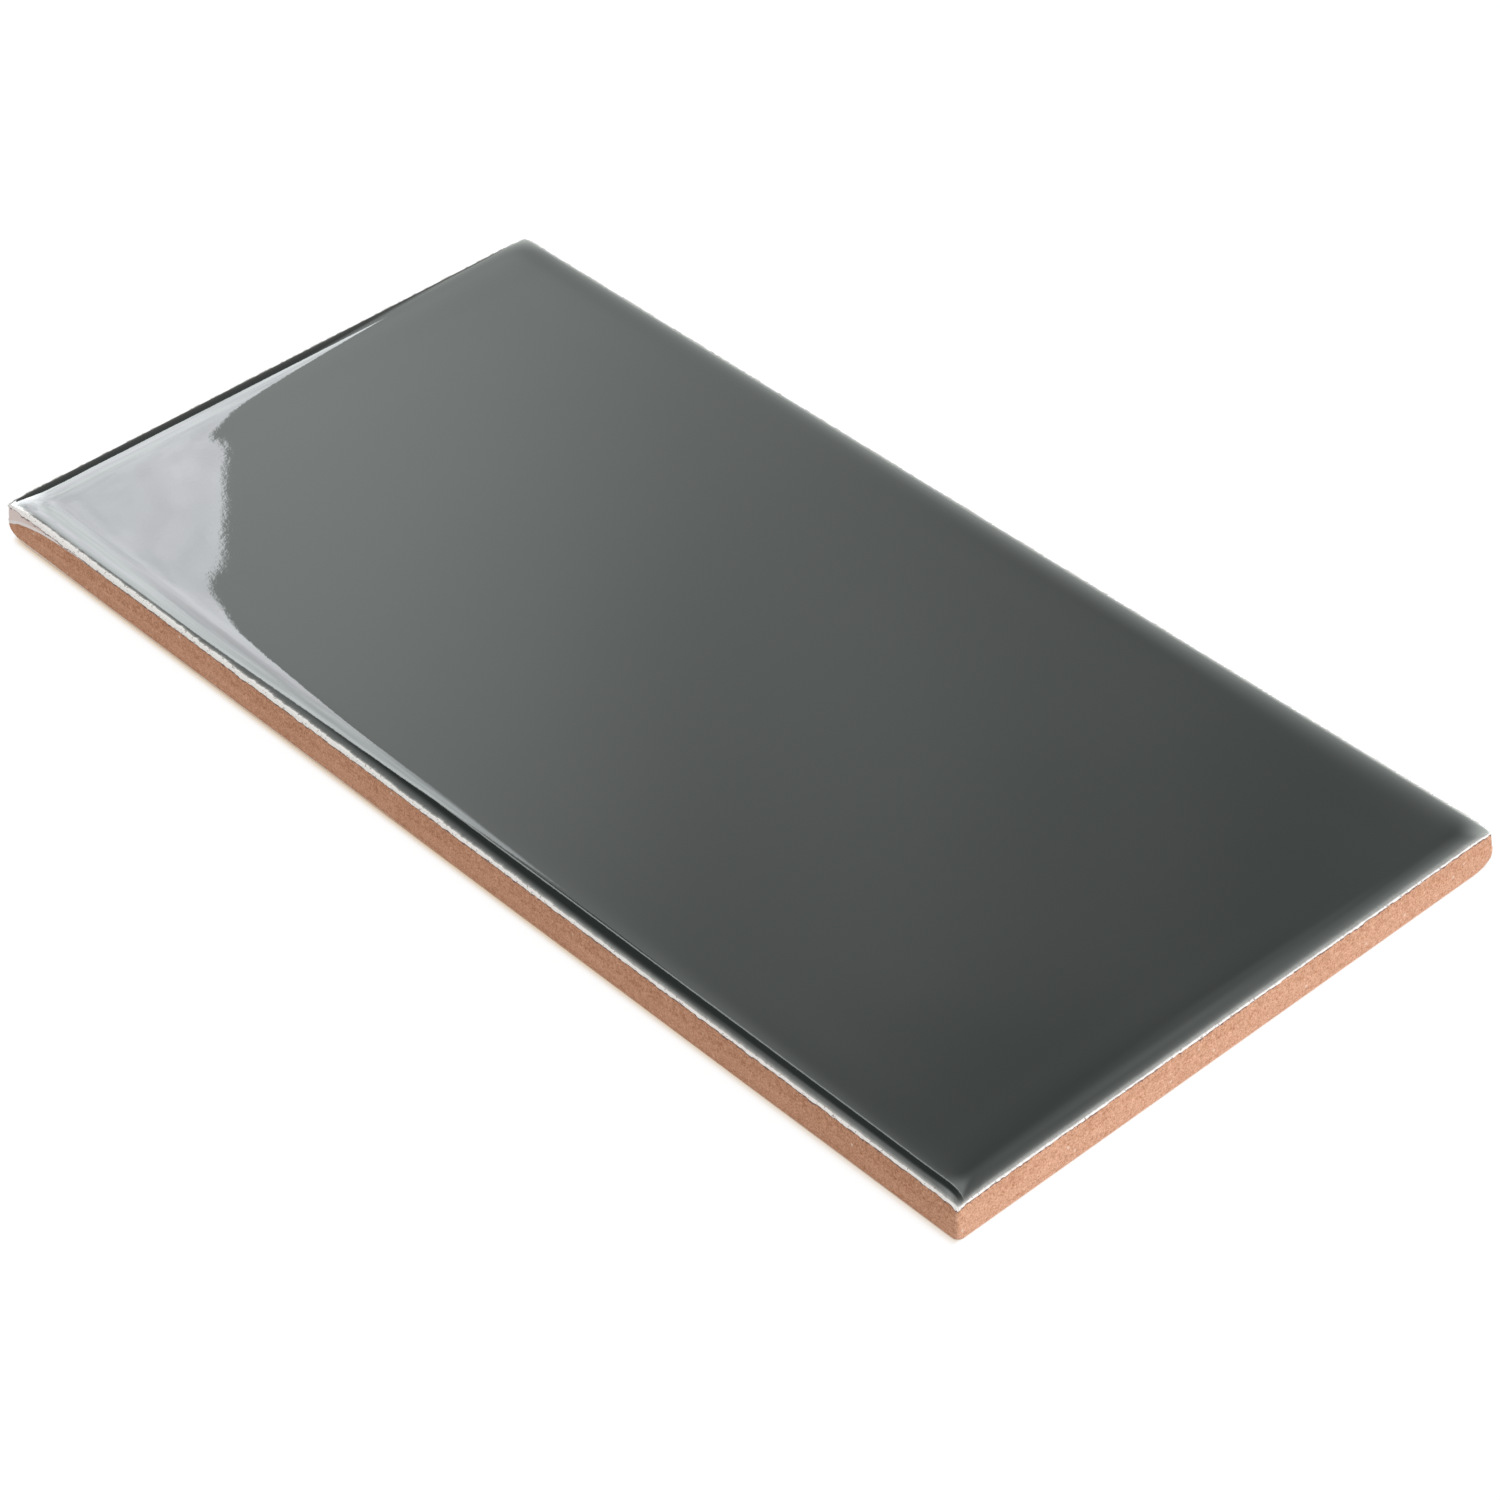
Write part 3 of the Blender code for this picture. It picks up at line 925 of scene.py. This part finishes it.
def add_side_lamp():
    """A cool square lamp that lights the short side, aimed at the tile and mirrored nowhere."""
    light = bpy.data.lights.new("side_lamp", "AREA")
    light.color = LAMP_COLOUR
    light.shape = "SQUARE"
    light.size = LAMP_SIZE
    light.energy = LAMP_POWER
    lamp = bpy.data.objects.new("side_lamp", light)
    lamp.location = LAMP_PLACE
    lamp.rotation_euler = (-Vector(LAMP_PLACE)).to_track_quat("-Z", "Y").to_euler()
    lamp.visible_glossy = False
    lamp.visible_camera = False
    bpy.context.scene.collection.objects.link(lamp)


# The camera, solved from the four corners of the face in a photograph of 1500 pixels
PHOTO_SIZE = 1500.0
FOCAL_PIXELS = 4487.25
AXIS_PIXEL = (825.10, 733.59)
CAMERA_AZIMUTH = math.radians(47.837)
CAMERA_HEIGHT = math.radians(39.943)
CAMERA_ROLL = math.radians(-1.448)
CAMERA_DISTANCE = 0.620444
CAMERA_TARGET = Vector((0.019740, 0.002902, 0.003))
SENSOR = 36.0


def add_camera():
    data = bpy.data.cameras.new("camera")
    data.sensor_width = SENSOR
    data.lens = SENSOR * FOCAL_PIXELS / PHOTO_SIZE
    data.shift_x = 0.5 - AXIS_PIXEL[0] / PHOTO_SIZE
    data.shift_y = AXIS_PIXEL[1] / PHOTO_SIZE - 0.5
    data.clip_start, data.clip_end = 0.01, 50.0
    back = Vector((math.sin(CAMERA_AZIMUTH) * math.cos(CAMERA_HEIGHT),
                   -math.cos(CAMERA_AZIMUTH) * math.cos(CAMERA_HEIGHT), math.sin(CAMERA_HEIGHT)))
    right = Vector((math.cos(CAMERA_AZIMUTH), math.sin(CAMERA_AZIMUTH), 0.0))
    up = back.cross(right)
    turned_right = right * math.cos(CAMERA_ROLL) + up * math.sin(CAMERA_ROLL)
    turned_up = up * math.cos(CAMERA_ROLL) - right * math.sin(CAMERA_ROLL)
    camera = bpy.data.objects.new("camera", data)
    rotation = Matrix((turned_right, turned_up, back)).transposed()
    camera.matrix_world = Matrix.Translation(CAMERA_TARGET + back * CAMERA_DISTANCE) @ rotation.to_4x4()
    bpy.context.scene.collection.objects.link(camera)
    bpy.context.scene.camera = camera


def add_floor():
    """A floor of three by three faces. The middle one, just larger than the tile, has the contact shade."""
    far = FLOOR_SIZE / 2
    xs = (-far, -HALF_LENGTH - NEAR_TILE, HALF_LENGTH + NEAR_TILE, far)
    ys = (-far, -HALF_WIDTH - NEAR_TILE, HALF_WIDTH + NEAR_TILE, far)
    points = [(x, y, -FLOOR_GAP) for y in ys for x in xs]
    corners = [row * 4 + column for row in range(3) for column in range(3)]
    mesh = bpy.data.meshes.new("floor")
    mesh.from_pydata(points, [], [(i, i + 1, i + 5, i + 4) for i in corners])
    mesh.materials.append(floor_material("white_floor", False))
    mesh.materials.append(floor_material("white_floor_near", True))
    mesh.polygons[4].material_index = 1
    floor = bpy.data.objects.new("floor", mesh)
    bpy.context.scene.collection.objects.link(floor)


tile = build_tile()
tile.data.materials.append(glaze_material())
tile.data.materials.append(clay_material())
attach(tile, "root")
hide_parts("tile")

add_floor()
build_world()
add_side_lamp()
add_camera()

bpy.context.scene.view_settings.view_transform = "Standard"
